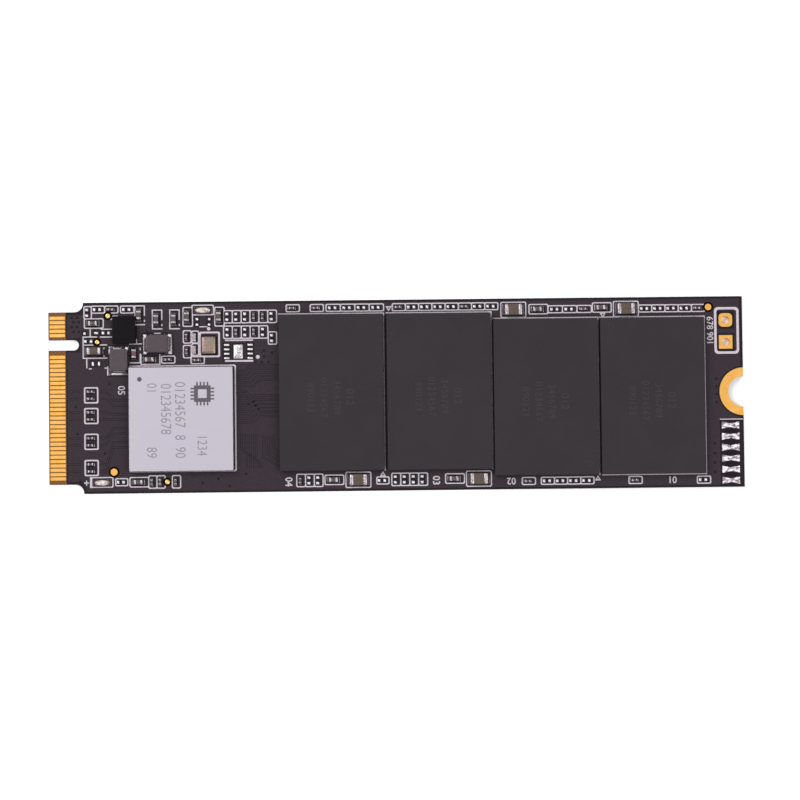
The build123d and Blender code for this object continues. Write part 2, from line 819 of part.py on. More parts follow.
def power_inductor(number, center, direction):
    """A pressed core with a coil in its underside and a folded foil terminal at each end."""
    seat = Plane(origin=(*center, seat_z), x_dir=direction, z_dir=(0, 0, 1))
    core_length = inductor_length - 2 * inductor_foil
    foot_x = (inductor_length - inductor_foil_reach) / 2
    flap_x = (inductor_length - inductor_foil) / 2
    with BuildPart() as core:
        with BuildSketch(seat.offset(inductor_foil)) as core_outline:
            Rectangle(core_length, inductor_width)
            chamfer(core_outline.vertices(), inductor_corner)
        extrude(amount=inductor_height)
        fillet(core.edges().group_by(Axis.Z)[-1], inductor_edge)
        with BuildSketch(seat.offset(inductor_foil)):
            Circle(coil_outer_radius)
            Circle(coil_inner_radius, mode=Mode.SUBTRACT)
        extrude(amount=coil_height, mode=Mode.SUBTRACT)
    save(core, f"power_inductor_{number}_core")

    with BuildPart() as coil:
        with BuildSketch(seat.offset(inductor_foil)):
            Circle(coil_outer_radius)
            Circle(coil_inner_radius, mode=Mode.SUBTRACT)
        extrude(amount=coil_height)
    save(coil, f"power_inductor_{number}_coil")

    with BuildPart() as terminals:
        with BuildSketch(seat):
            with Locations((foot_x, 0), (-foot_x, 0)):
                Rectangle(inductor_foil_reach, inductor_foil_width)
        extrude(amount=inductor_foil)
        with BuildSketch(seat):
            with Locations((flap_x, 0), (-flap_x, 0)):
                Rectangle(inductor_foil, inductor_foil_width)
        extrude(amount=inductor_flap_height)
    save(terminals, f"power_inductor_{number}_terminals")


power_inductor(1, inductor_1_center, (0, 1, 0))
power_inductor(2, inductor_2_center, (1, 0, 0))

# ---------------------------------------------------------------- crystal oscillator

crystal_top_z = seat_z + crystal_base_height
crystal_floor_z = crystal_top_z - crystal_cavity_depth
hollow_size = (crystal_size[0] - 2 * crystal_wall, crystal_size[1] - 2 * crystal_wall)
ledge_spacing = crystal_blank_size[1] - crystal_ledge_width

with BuildPart() as crystal_base:
    with BuildSketch(Plane.XY.offset(seat_z)):
        with Locations(crystal_center):
            Rectangle(*crystal_size)
    extrude(amount=crystal_base_height)
    with BuildSketch(Plane.XY.offset(crystal_floor_z)):
        with Locations(crystal_center):
            Rectangle(*hollow_size)
    extrude(amount=crystal_cavity_depth, mode=Mode.SUBTRACT)
    with BuildSketch(Plane.XY.offset(crystal_floor_z)):
        with Locations(crystal_center):
            with GridLocations(0, ledge_spacing, 1, 2):
                Rectangle(crystal_blank_size[0], crystal_ledge_width)
    extrude(amount=crystal_ledge_height)
save(crystal_base, "crystal_base")

with BuildPart() as crystal_blank:
    with BuildSketch(Plane.XY.offset(crystal_floor_z + crystal_ledge_height)):
        with Locations(crystal_center):
            Rectangle(*crystal_blank_size)
    extrude(amount=crystal_blank_thickness)
save(crystal_blank, "crystal_blank")

with BuildPart() as crystal_lid:
    with BuildSketch(Plane.XY.offset(crystal_top_z)):
        with Locations(crystal_center):
            RectangleRounded(
                crystal_size[0] - 2 * crystal_lid_inset,
                crystal_size[1] - 2 * crystal_lid_inset,
                crystal_lid_corner,
            )
    extrude(amount=crystal_lid_height)
    fillet(crystal_lid.edges().group_by(Axis.Z)[-1], crystal_lid_edge)
save(crystal_lid, "crystal_lid")

# ---------------------------------------------------------------- light emitting diodes

with BuildPart() as led_terminals:
    with BuildSketch(Plane.XY.offset(seat_z)):
        for x, y in led_centers:
            out = (led_size[0] - led_terminal) / 2
            with Locations((x - out, y), (x + out, y)):
                Rectangle(led_terminal, led_size[1])
    extrude(amount=led_base_height)
save(led_terminals, "led_terminals")

with BuildPart() as led_bases:
    with BuildSketch(Plane.XY.offset(seat_z)):
        with Locations(*led_centers):
            Rectangle(led_size[0] - 2 * led_terminal, led_size[1])
    extrude(amount=led_base_height)
save(led_bases, "led_bases")

with BuildPart() as led_lenses:
    with BuildSketch(Plane.XY.offset(seat_z + led_base_height)):
        with Locations(*led_centers):
            Rectangle(*led_lens_size)
    extrude(amount=led_lens_height, taper=led_lens_draft)
    fillet(led_lenses.edges().group_by(Axis.Z)[-1], led_lens_edge)
save(led_lenses, "led_lenses")

# ---------------------------------------------------------------- chip parts


def chip_parts(name, chip, along_x, along_y, edge):
    """The bodies of a group of chips as one node, and their end terminals as another."""
    length, width, height, terminal = chip
    body_length = length - 2 * terminal
    out = (length - terminal) / 2
    with BuildPart() as bodies:
        with BuildSketch(Plane.XY.offset(seat_z)):
            for x, y in along_x:
                with Locations((x, y)):
                    Rectangle(body_length, width - 2 * edge)
            for x, y in along_y:
                with Locations((x, y)):
                    Rectangle(width - 2 * edge, body_length)
        extrude(amount=height - edge)
    save(bodies, f"{name}_bodies")

    with BuildPart() as terminals:
        with BuildSketch(Plane.XY.offset(seat_z)):
            for x, y in along_x:
                with Locations((x - out, y), (x + out, y)):
                    Rectangle(terminal, width)
            for x, y in along_y:
                with Locations((x, y - out), (x, y + out)):
                    Rectangle(width, terminal)
        extrude(amount=height)
        fillet(terminals.edges().group_by(Axis.Z)[-1], edge)
    save(terminals, f"{name}_terminals")


chip_parts("resistor", resistor_chip, [], resistor_centers, 0.02)
chip_parts("fuse", fuse_chip, [], fuse_centers, 0.03)
chip_parts("bulk_capacitor", bulk_chip, bulk_centers, [], 0.04)
chip_parts("input_capacitor", input_chip, input_centers, [], 0.04)
chip_parts("small_capacitor", small_chip, small_along_x, small_along_y, 0.03)
chip_parts("tiny_capacitor", tiny_chip, tiny_along_x, tiny_along_y, 0.02)
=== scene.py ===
import bpy
import bmesh
import json
import math
from mathutils import Matrix, Vector
from mathutils.geometry import delaunay_2d_cdt


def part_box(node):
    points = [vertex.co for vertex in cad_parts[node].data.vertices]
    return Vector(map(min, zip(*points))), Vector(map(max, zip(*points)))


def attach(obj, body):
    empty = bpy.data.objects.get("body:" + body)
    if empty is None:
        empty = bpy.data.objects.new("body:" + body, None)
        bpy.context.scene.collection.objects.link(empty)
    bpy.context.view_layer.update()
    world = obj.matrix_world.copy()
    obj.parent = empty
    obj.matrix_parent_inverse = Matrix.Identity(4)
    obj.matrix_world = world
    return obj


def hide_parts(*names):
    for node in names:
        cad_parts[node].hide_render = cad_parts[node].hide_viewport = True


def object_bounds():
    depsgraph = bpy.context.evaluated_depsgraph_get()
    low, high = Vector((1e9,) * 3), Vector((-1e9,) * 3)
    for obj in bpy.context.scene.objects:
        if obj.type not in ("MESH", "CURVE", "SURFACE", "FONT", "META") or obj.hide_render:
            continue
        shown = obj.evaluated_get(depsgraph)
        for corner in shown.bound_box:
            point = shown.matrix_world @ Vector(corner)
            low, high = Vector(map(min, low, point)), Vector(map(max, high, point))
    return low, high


# The looks of a solid state drive on a bare card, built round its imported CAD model.
# The frame is the CAD's: X along the card, contacts at the low end, Z up from the underside.
# Shapes are worked out in millimetres, and MM turns them into Blender's metres.

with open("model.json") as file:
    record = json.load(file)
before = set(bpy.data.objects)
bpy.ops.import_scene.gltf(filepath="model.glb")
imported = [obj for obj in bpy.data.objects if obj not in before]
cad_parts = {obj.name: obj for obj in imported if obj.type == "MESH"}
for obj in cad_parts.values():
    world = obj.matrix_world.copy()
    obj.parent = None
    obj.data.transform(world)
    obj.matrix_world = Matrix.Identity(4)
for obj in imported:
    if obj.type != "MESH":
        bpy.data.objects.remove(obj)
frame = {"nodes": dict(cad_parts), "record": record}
cad_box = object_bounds()
nodes = frame["nodes"]
MM = 0.001


# ---------------------------------------------------------------- node materials


def tone(red, green, blue):
    """A colour from the screen's 0 to 255 scale, as linear light with full alpha."""
    shares = [c / 255 for c in (red, green, blue)]
    linear = [c / 12.92 if c <= 0.04045 else ((c + 0.055) / 1.055) ** 2.4 for c in shares]
    return (*linear, 1)


class Finish:
    """A material put together from nodes round one Principled shader."""

    def __init__(self, name, color, roughness, metallic=0.0, specular=0.5):
        self.material = bpy.data.materials.new(name)
        self.material.use_nodes = True
        self.tree = self.material.node_tree
        self.shader = self.tree.nodes["Principled BSDF"]
        self.set("Base Color", color)
        self.set("Roughness", roughness)
        self.set("Metallic", metallic)
        self.set("Specular IOR Level", specular)
        self.material.diffuse_color = color
        where = self.add("TexCoord").outputs["Object"]
        scaled = self.add("VectorMath", {"operation": "SCALE"}, Vector=where, Scale=1 / MM)
        self.place = scaled.outputs[0]
        self.relief = None

    def set(self, socket, value):
        """A constant, or a link from another node's output, into the shader."""
        if isinstance(value, bpy.types.NodeSocket):
            self.tree.links.new(value, self.shader.inputs[socket])
        else:
            self.shader.inputs[socket].default_value = value

    def add(self, kind, settings=None, **inputs):
        """A node with its settings and inputs; i0, i1 and so on are inputs by number."""
        made = self.tree.nodes.new("ShaderNode" + kind)
        for key, value in (settings or {}).items():
            setattr(made, key, value)
        for key, value in inputs.items():
            socket = made.inputs[int(key[1:]) if key[1:].isdigit() else key]
            if isinstance(value, bpy.types.NodeSocket):
                self.tree.links.new(value, socket)
            else:
                socket.default_value = value
        return made

    def stretched(self, x, y, z):
        """The place on the object with each axis scaled."""
        made = self.add("VectorMath", {"operation": "MULTIPLY"}, i0=self.place, i1=(x, y, z))
        return made.outputs[0]

    def noise(self, scale, detail=3.0, rough=0.55, where=None):
        """Cloudy noise; the scale is in features per millimetre."""
        settings = {"Vector": where or self.place, "Scale": scale}
        return self.add("TexNoise", Detail=detail, Roughness=rough, **settings).outputs[0]

    def axis(self, name):
        """One coordinate of the place, in millimetres."""
        return self.add("SeparateXYZ", Vector=self.place).outputs[name]

    def facing(self, name):
        """One part of the surface's own direction."""
        normal = self.add("NewGeometry").outputs["Normal"]
        return self.add("SeparateXYZ", Vector=normal).outputs[name]

    def math(self, operation, a, b=0.0):
        return self.add("Math", {"operation": operation}, i0=a, i1=b).outputs[0]

    def span(self, value, low, high, to_low=0.0, to_high=1.0):
        """Value's span from low to high, moved onto another span and clamped."""
        made = self.add("MapRange", i0=value, i1=low, i2=high, i3=to_low, i4=to_high)
        return made.outputs[0]

    def blend(self, share, a, b):
        """From colour a to colour b as the share goes from 0 to 1."""
        return self.add("Mix", {"data_type": "RGBA"}, i0=share, i6=a, i7=b).outputs[2]

    def bump(self, height, depth):
        """Relief of this depth in millimetres, on top of any put on before."""
        made = self.add("Bump", Height=height, Strength=1.0, Distance=depth * MM)
        if self.relief is not None:
            self.tree.links.new(self.relief, made.inputs["Normal"])
        self.relief = made.outputs[0]
        self.set("Normal", self.relief)


def mask_finish():
    """Solder mask: satin purple-black lacquer with slight orange peel."""
    made = Finish("solder_mask_lacquer", tone(26, 17, 24), 0.4, specular=0.2)
    cloud = made.noise(0.5, 4.0)
    fine = made.noise(9.0, 3.0)
    base = made.blend(made.span(cloud, 0.35, 0.65), tone(24, 15, 22), tone(31, 20, 27))
    made.set("Base Color", made.blend(made.span(fine, 0.3, 0.7), base, tone(20, 13, 19)))
    made.set("Roughness", made.span(fine, 0.2, 0.8, 0.34, 0.5))
    made.bump(made.noise(3.0, 2.0), 0.006)
    made.bump(fine, 0.002)
    return made.material


WEAVE_TURN = 14.0  # radians of the weave's wave per millimetre
CONTACT_TONGUE_END = -38.0  # the bare laminate between the contacts stops here, in X


def laminate_finish():
    """Glass-epoxy laminate: woven amber at the contacts, layered edges, lacquered underneath."""
    made = Finish("glass_epoxy_laminate", tone(110, 70, 20), 0.5, specular=0.4)
    weave_x = made.math("SINE", made.math("MULTIPLY", made.axis("X"), WEAVE_TURN))
    weave_y = made.math("SINE", made.math("MULTIPLY", made.axis("Y"), WEAVE_TURN))
    weave = made.math("MULTIPLY", weave_x, weave_y)
    bare = made.blend(made.span(weave, -0.6, 0.6), tone(96, 56, 8), tone(128, 82, 22))
    layer = made.noise(1.0, 3.0, 0.6, made.stretched(0.5, 0.5, 14.0))
    edge = made.blend(made.span(layer, 0.35, 0.65), tone(62, 48, 40), tone(112, 96, 76))
    side = made.span(made.math("ABSOLUTE", made.facing("Z")), 0.5, 0.6)
    cloud = made.span(made.noise(0.8, 4.0), 0.35, 0.65)
    under = made.blend(cloud, tone(40, 30, 38), tone(48, 36, 44))
    past_tongue = made.span(made.axis("X"), CONTACT_TONGUE_END - 0.05, CONTACT_TONGUE_END + 0.05)
    flat = made.blend(past_tongue, bare, under)
    made.set("Base Color", made.blend(side, edge, flat))
    made.bump(weave, 0.004)
    made.bump(layer, 0.01)
    return made.material


def gold_finish():
    """Immersion gold over nickel: soft yellow metal with a fine grain."""
    made = Finish("gold_plate", tone(252, 190, 90), 0.38, metallic=1.0)
    grain = made.noise(16.0, 4.0)
    cloud = made.noise(1.3, 3.0)
    base = made.blend(made.span(cloud, 0.35, 0.65), tone(243, 182, 86), tone(250, 197, 114))
    worn = made.span(grain, 0.3, 0.75, 0.0, 0.35)
    made.set("Base Color", made.blend(worn, base, tone(208, 140, 56)))
    made.set("Roughness", made.span(grain, 0.25, 0.75, 0.3, 0.48))
    made.bump(grain, 0.003)
    return made.material


def tin_finish(name="tin_plate", low=0.22, high=0.42, dull=(150, 142, 146), bright=(222, 214, 218)):
    """Tin and solder: bright white metal with a crumpled, frosted skin."""
    made = Finish(name, tone(222, 216, 222), 0.3, metallic=1.0)
    grain = made.noise(7.0, 5.0, 0.6)
    made.set("Base Color", made.blend(made.span(grain, 0.35, 0.65), tone(*dull), tone(*bright)))
    made.set("Roughness", made.span(grain, 0.3, 0.7, low, high))
    made.bump(grain, 0.012)
    made.bump(made.noise(26.0, 3.0), 0.003)
    return made.material


def ink_finish():
    """Legend ink: chalky off-white with a slight lilac cast and thin spots."""
    made = Finish("legend_ink", tone(198, 189, 198), 0.62, specular=0.3)
    grain = made.noise(5.0, 4.0, 0.65)
    thin = made.span(grain, 0.53, 0.7, 0.0, 0.6)
    made.set("Base Color", made.blend(thin, tone(204, 195, 203), tone(112, 102, 113)))
    made.bump(grain, 0.004)
    return made.material


def substrate_finish():
    """Package substrate: dark green laminate seen at its cut edge."""
    made = Finish("package_substrate", tone(40, 46, 34), 0.5, specular=0.4)
    layer = made.noise(1.0, 2.0, 0.5, made.stretched(0.8, 0.8, 20.0))
    share = made.span(layer, 0.35, 0.65)
    made.set("Base Color", made.blend(share, tone(30, 36, 28), tone(70, 72, 48)))
    made.bump(layer, 0.006)
    return made.material


def mould_finish(name, dark, light, rough, specular):
    """Filled epoxy moulding: matt, speckled with ground silica."""
    made = Finish(name, tone(*dark), rough, specular=specular)
    cloud = made.span(made.noise(0.25, 3.0), 0.35, 0.65)
    fleck = made.span(made.noise(18.0, 2.0), 0.55, 0.75, 0.0, 0.6)
    base = made.blend(cloud, tone(*dark), tone(*light))
    made.set("Base Color", made.blend(fleck, base, tone(*[c * 1.35 for c in light])))
    made.set("Roughness", made.span(made.noise(6.0), 0.3, 0.7, rough - 0.05, rough + 0.1))
    made.bump(made.noise(14.0, 3.0), 0.005)
    return made.material


def lid_finish():
    """Nickel-plated lid: satin silver with a faint lilac cast and a fine blasted grain."""
    made = Finish("nickel_lid", tone(190, 184, 194), 0.5, metallic=0.75)
    grain = made.noise(20.0, 3.0)
    cloud = made.noise(0.18, 2.0)
    base = made.blend(made.span(cloud, 0.3, 0.7), tone(193, 186, 195), tone(189, 185, 197))
    pitted = made.span(grain, 0.3, 0.75, 0.0, 0.3)
    made.set("Base Color", made.blend(pitted, base, tone(176, 170, 182)))
    made.set("Roughness", made.span(grain, 0.25, 0.75, 0.46, 0.6))
    made.bump(grain, 0.002)
    return made.material


def crumpled_finish():
    """Thick tinning that froze in ridges, painted bright on one side of each and dark on the other,
    as painted light and shade.
    """
    made = Finish("ridged_tinning", tone(226, 216, 226), 0.28, metallic=1.0)
    ridge = made.noise(1.0, 3.0, 0.6, made.stretched(2.2, 4.5, 4.0))
    # painted light and shade: the colour goes bright where the ridge noise is high and dark where
    # it is low
    painted_ridge_light = made.span(ridge, 0.4, 0.56)
    made.set("Base Color", made.blend(painted_ridge_light, tone(112, 100, 108), tone(250, 240, 250)))
    made.set("Roughness", made.span(ridge, 0.3, 0.7, 0.42, 0.24))
    made.bump(ridge, 0.09)
    made.bump(made.noise(11.0, 3.0), 0.008)
    return made.material


CRYSTAL_TINT = (-22.3, -20.85)  # where the lid's tint changes over, in X


def crystal_lid_finish():
    """Seam-welded lid: worn nickel, pink at one end and straw-tinted at the other."""
    made = Finish("crystal_lid_metal", tone(140, 122, 118), 0.42, metallic=1.0)
    across = made.span(made.axis("X"), *CRYSTAL_TINT)
    tint = made.blend(across, tone(146, 122, 122), tone(146, 132, 106))
    grain = made.noise(5.0, 4.0, 0.6)
    worn = made.span(grain, 0.35, 0.65, 0.0, 0.5)
    made.set("Base Color", made.blend(worn, tint, tone(170, 152, 148)))
    made.set("Roughness", made.span(grain, 0.3, 0.7, 0.34, 0.5))
    made.bump(grain, 0.005)
    return made.material


def plain_finish(name, low, high, rough, scale=6.0, metallic=0.0, depth=0.004, specular=0.4):
    """A small part's surface: two tones mottled together over a fine grain."""
    made = Finish(name, tone(*high), rough, metallic=metallic, specular=specular)
    grain = made.noise(scale, 4.0, 0.6)
    made.set("Base Color", made.blend(made.span(grain, 0.35, 0.65), tone(*low), tone(*high)))
    made.set("Roughness", made.span(grain, 0.3, 0.7, rough - 0.06, rough + 0.08))
    made.bump(grain, depth)
    return made.material


# by the record's slots, and by the names of finer finishes within a slot
FINISHES = {
    "board": laminate_finish(),
    "solder_mask": mask_finish(),
    "gold": gold_finish(),
    "tin": tin_finish(),
    # solder is painted darker than the tin plate: a painted dark reflection of the surroundings on
    # its slopes
    "solder": tin_finish("solder_painted_dark", 0.2, 0.38, (104, 96, 100), (176, 168, 174)),
    "bare_solder": tin_finish("bare_pad_alloy", 0.34, 0.55, (206, 199, 205), (248, 244, 248)),
    "bright_solder": tin_finish("fillet_alloy", 0.18, 0.5, (150, 142, 148), (255, 252, 255)),
    # tin painted nearly black: painted shade at the LED's ends
    "shade_dark_tin": tin_finish("tin_painted_shade", 0.35, 0.5, (58, 52, 55), (104, 96, 99)),
    "crumpled_tin": crumpled_finish(),
    # near-white solder for the inductor beads: painted highlight where the core's corners catch the
    # light
    "solder_painted_highlight": plain_finish(
        "solder_painted_highlight", (224, 216, 222), (255, 252, 255), 0.45, 7.0, metallic=0.15
    ),
    "ink": ink_finish(),
    "substrate": substrate_finish(),
    "mould": mould_finish("memory_mould", (42, 37, 41), (46, 40, 45), 0.55, 0.22),
    "chip_black": mould_finish("power_chip_mould", (8, 3, 9), (11, 6, 13), 0.42, 0.12),
    "silicon": plain_finish("silicon", (60, 62, 70), (78, 80, 92), 0.2, metallic=0.6),
    "lid_metal": lid_finish(),
    "compound": plain_finish("thermal_compound", (170, 170, 172), (200, 200, 202), 0.7),
    "ferrite": plain_finish(
        "pressed_iron_powder", (66, 57, 62), (85, 75, 81), 0.5, 9.0, specular=0.3
    ),
    "copper": plain_finish("enamelled_copper", (176, 92, 50), (206, 120, 70), 0.3, metallic=1.0),
    "crystal_ceramic": plain_finish("crystal_ceramic", (48, 40, 44), (64, 54, 58), 0.55),
    "crystal_metal": crystal_lid_finish(),
    "quartz": plain_finish("quartz_blank", (190, 196, 204), (214, 220, 228), 0.15),
    "capacitor_ceramic": plain_finish("capacitor_ceramic", (74, 60, 54), (95, 79, 70), 0.4, 7.0),
    "grey_ceramic": plain_finish("small_capacitor_ceramic", (72, 62, 60), (96, 84, 81), 0.4, 7.0),
    "resistor_ceramic": plain_finish(
        "resistor_ceramic", (150, 140, 140), (176, 168, 168), 0.5, 7.0
    ),
    "fuse_ceramic": plain_finish("fuse_ceramic", (100, 62, 70), (128, 84, 92), 0.45, 7.0),
    "lid_mark": plain_finish("lid_laser_mark", (136, 128, 140), (148, 140, 152), 0.6, metallic=0.3),
    "lid_mark_dark": plain_finish("lid_laser_mark_dark", (84, 77, 86), (96, 88, 98), 0.65),
    "memory_mark": plain_finish("mould_laser_mark", (52, 48, 51), (60, 55, 57), 0.6, specular=0.25),
    "mask_relief": plain_finish(
        "lacquer_over_copper", (46, 36, 44), (52, 42, 49), 0.42, 4.0, specular=0.2
    ),
    # dark lacquer in the vias, also laid between the waisted pads as painted shade
    "via_lacquer_and_shade": plain_finish("via_lacquer_and_painted_shade", (16, 10, 16), (22, 14, 22), 0.45, specular=0.15),
    "clearance": plain_finish("bare_clearance", (14, 3, 1), (26, 9, 4), 0.6, specular=0.04),
    "pale_gold": plain_finish(
        "gilded_button", (238, 190, 104), (255, 224, 156), 0.3, 9.0, metallic=1.0
    ),
    "led_plastic": plain_finish("led_housing", (40, 33, 35), (60, 52, 53), 0.5, specular=0.25),
    "led_epoxy": plain_finish(
        "led_epoxy", (150, 134, 124), (250, 240, 234), 0.08, 2.2, depth=0.08
    ),
}

# the record's slot of each finish that isn't named after one
SLOT_OF = {part["node"]: part["material_slot"] for part in frame["record"]["subparts"]}

# CAD nodes whose finish isn't their slot's usual one
# the LED terminals' tin is painted dark as shade, and the debug pads' colour paints light and shade
# on their ridges
FINISH_OF = {"debug_pads": "crumpled_tin", "led_terminals": "shade_dark_tin"}

for name, node in nodes.items():
    node.data.materials.clear()
    node.data.materials.append(FINISHES[FINISH_OF.get(name, SLOT_OF[name])])


# ---------------------------------------------------------------- shapes, in millimetres


SAME_POINT = 1e-7  # metres; vertices nearer than this are one point
SHARP_ABOVE = math.radians(40)
CORNER_STEPS = 3
EDGE_STEPS = ((1.0, 0.0), (0.45, 0.12), (0.12, 0.45), (0.0, 1.0))  # a rounded rim, (in, up)
SINK = 0.012  # how far solder is sunk into its pad
TUCK = 0.004  # how far its upper edge goes into what it climbs
SKIRT_EDGE, DOME_EDGE = 0.006, 0.003  # how thick solder is at its outer edge
SKIRT_STEPS = 6
DOME_SHARES = (0.0, 0.12, 0.3, 0.55, 0.8, 0.95)  # rings, from the edge to the middle
WELD = 1e-5  # outlines' points nearer than this are one


def solids_of(name):
    """The box of each separate solid in a CAD node: (low corner, high corner) in millimetres."""
    mesh = nodes[name].data
    spots = {}
    spot_of = []
    for vertex in mesh.vertices:
        key = tuple(round(c / SAME_POINT) for c in vertex.co)
        spot_of.append(spots.setdefault(key, len(spots)))
    leader = list(range(len(spots)))

    def lead(spot):
        """The one point that stands for all the points joined to this one."""
        while leader[spot] != spot:
            leader[spot] = leader[leader[spot]]
            spot = leader[spot]
        return spot

    for edge in mesh.edges:
        leader[lead(spot_of[edge.vertices[0]])] = lead(spot_of[edge.vertices[1]])
    found = {}
    for vertex, spot in zip(mesh.vertices, spot_of):
        low, high = found.setdefault(lead(spot), ([math.inf] * 3, [-math.inf] * 3))
        for axis in range(3):
            low[axis] = min(low[axis], vertex.co[axis] / MM)
            high[axis] = max(high[axis], vertex.co[axis] / MM)
    return sorted((tuple(low), tuple(high)) for low, high in found.values())


def centre(low, high):
    """The middle of a box, seen from above."""
    return (low[0] + high[0]) / 2, (low[1] + high[1]) / 2


def overlapping(low, high, other_low, other_high, by=0.0):
    """Whether two boxes overlap, or come nearer than some distance, seen from above."""
    return all(other_low[i] < high[i] + by and other_high[i] > low[i] - by for i in (0, 1))


def box_of(name):
    """A CAD node's lowest and highest corners in millimetres."""
    low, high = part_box(name)
    return tuple(c / MM for c in low), tuple(c / MM for c in high)


def piece(name, shape, finish, smooth=True, stands_for=None):
    """A new piece of the object; it may stand for a CAD node."""
    mesh = bpy.data.meshes.new(name)
    mesh.from_pydata([(x * MM, y * MM, z * MM) for x, y, z in shape.points], [], shape.faces)
    made = bpy.data.objects.new(name, mesh)
    bpy.context.scene.collection.objects.link(made)
    work = bmesh.new()
    work.from_mesh(mesh)
    bmesh.ops.recalc_face_normals(work, faces=work.faces)
    for face in work.faces:
        face.smooth = smooth
    for edge in work.edges:
        edge.smooth = len(edge.link_faces) == 2 and edge.calc_face_angle() < SHARP_ABOVE
    work.to_mesh(mesh)
    work.free()
    mesh.materials.append(FINISHES[finish])
    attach(made, "root")
    if stands_for:
        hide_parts(stands_for)


class Shape:
    """Points and faces that grow into one piece."""

    def __init__(self):
        self.points = []
        self.faces = []

    def add(self, points, faces):
        start = len(self.points)
        self.points += points
        self.faces += [tuple(start + i for i in face) for face in faces]

    def rings(self, rings):
        """Skin a stack of rings that have the same number of points, and cap both ends."""
        count = len(rings[0])
        faces = []
        for level in range(len(rings) - 1):
            for i in range(count):
                j = (i + 1) % count
                low, high = level * count, (level + 1) * count
                faces.append((low + i, low + j, high + j, high + i))
        faces.append(tuple(reversed(range(count))))
        faces.append(tuple(range((len(rings) - 1) * count, len(rings) * count)))
        self.add([point for ring in rings for point in ring], faces)


def rounded_ring(low, high, z, corner):
    """A rounded rectangle's outline at one height, the same number of points whatever its size."""
    # just under half a side, so that no two points fall together
    corner = max(min(corner, (high[0] - low[0]) / 2.001, (high[1] - low[1]) / 2.001), 0.0005)
    ring = []
    for turn, (side_x, side_y) in enumerate(((1, 1), (-1, 1), (-1, -1), (1, -1))):
        x = (high if side_x > 0 else low)[0] - side_x * corner
        y = (high if side_y > 0 else low)[1] - side_y * corner
        for step in range(CORNER_STEPS + 1):
            angle = math.radians(90 * (turn + step / CORNER_STEPS))
            ring.append((x + corner * math.cos(angle), y + corner * math.sin(angle), z))
    return ring


def grown(low, high, z, by, corner):
    """A rounded outline round a box, grown outwards by some distance."""
    grown_low, grown_high = (low[0] - by, low[1] - by), (high[0] + by, high[1] + by)
    return rounded_ring(grown_low, grown_high, z, max(corner + by, 0.002))


def stepped(low, high, foot, rim, corner):
    """A block's outlines: (inset, height above the bottom) steps, then (inset, depth) ones."""
    steps = [(inset, low[2] + rise) for inset, rise in foot]
    steps += [(inset, high[2] - drop) for inset, drop in rim]
    return [grown(low, high, z, -inset, corner) for inset, z in steps]


def rounded_block(shape, low, high, edge):
    """A block with rounded upright corners and rounded top and bottom rims."""
    foot = [(inset * edge, rise * edge) for inset, rise in EDGE_STEPS]
    shape.rings(stepped(low, high, foot, foot[::-1], edge * 1.2))


def solder_skirt(shape, foot, inner_low, inner_high, rise, corner=0.04, curve=1.7, inner=0.04):
    """A concave fillet of solder from a pad's box up to the sides of what stands on it."""
    foot_low, foot_high = foot
    low = [min(a, b) for a, b in zip(foot_low[:2], inner_low[:2])]
    high = [max(a, b) for a, b in zip(foot_high[:2], inner_high[:2])]
    base = foot_high[2]
    rings = [rounded_ring(low, high, base - SINK, corner)]
    for step in range(SKIRT_STEPS + 1):
        share = step / SKIRT_STEPS
        ring_low = [a + (b + TUCK - a) * share for a, b in zip(low, inner_low)]
        ring_high = [a + (b - TUCK - a) * share for a, b in zip(high, inner_high)]
        bend = corner + (inner - corner) * share
        z = base + SKIRT_EDGE + rise * share**curve
        rings.append(rounded_ring(ring_low, ring_high, z, bend))
    shape.rings(rings)


def solder_dome(shape, low, high, rise, corner, fullness=2):
    """A low pillow of solder on a bare pad; a fuller one has a flatter top."""
    middle = [(a + b) / 2 for a, b in zip(low, high)]
    rings = [rounded_ring(low, high, high[2] - SINK, corner)]
    for share in DOME_SHARES:
        ring_low = [c + (a - c) * (1 - share) for a, c in zip(low, middle)]
        ring_high = [c + (b - c) * (1 - share) for b, c in zip(high, middle)]
        swell = DOME_EDGE + rise * (1 - (1 - share) ** fullness)
        rings.append(rounded_ring(ring_low, ring_high, high[2] + swell, corner))
    shape.rings(rings)


def disc(x, y, radius, sides=20):
    """A circle's outline."""
    turns = [math.tau * i / sides for i in range(sides)]
    return [(x + radius * math.cos(turn), y + radius * math.sin(turn)) for turn in turns]


def lathe(shape, place, profile, sides):
    """A round solid from (radius, height) pairs."""
    shape.rings([[(*spot, z) for spot in disc(*place, radius, sides)] for radius, z in profile])


def extrude(shape, flat, top, z_low, z_high):
    """A closed sheet from flat points and the faces of its top."""
    count = len(flat)
    rim = {(a, b) for face in top for a, b in zip(face, face[1:] + face[:1])}
    walls = [(b, a, a + count, b + count) for a, b in sorted(rim) if (b, a) not in rim]
    under = [tuple(reversed([i + count for i in face])) for face in top]
    upper = [(x, y, z_high) for x, y in flat]
    lower = [(x, y, z_low) for x, y in flat]
    shape.add(upper + lower, top + under + walls)


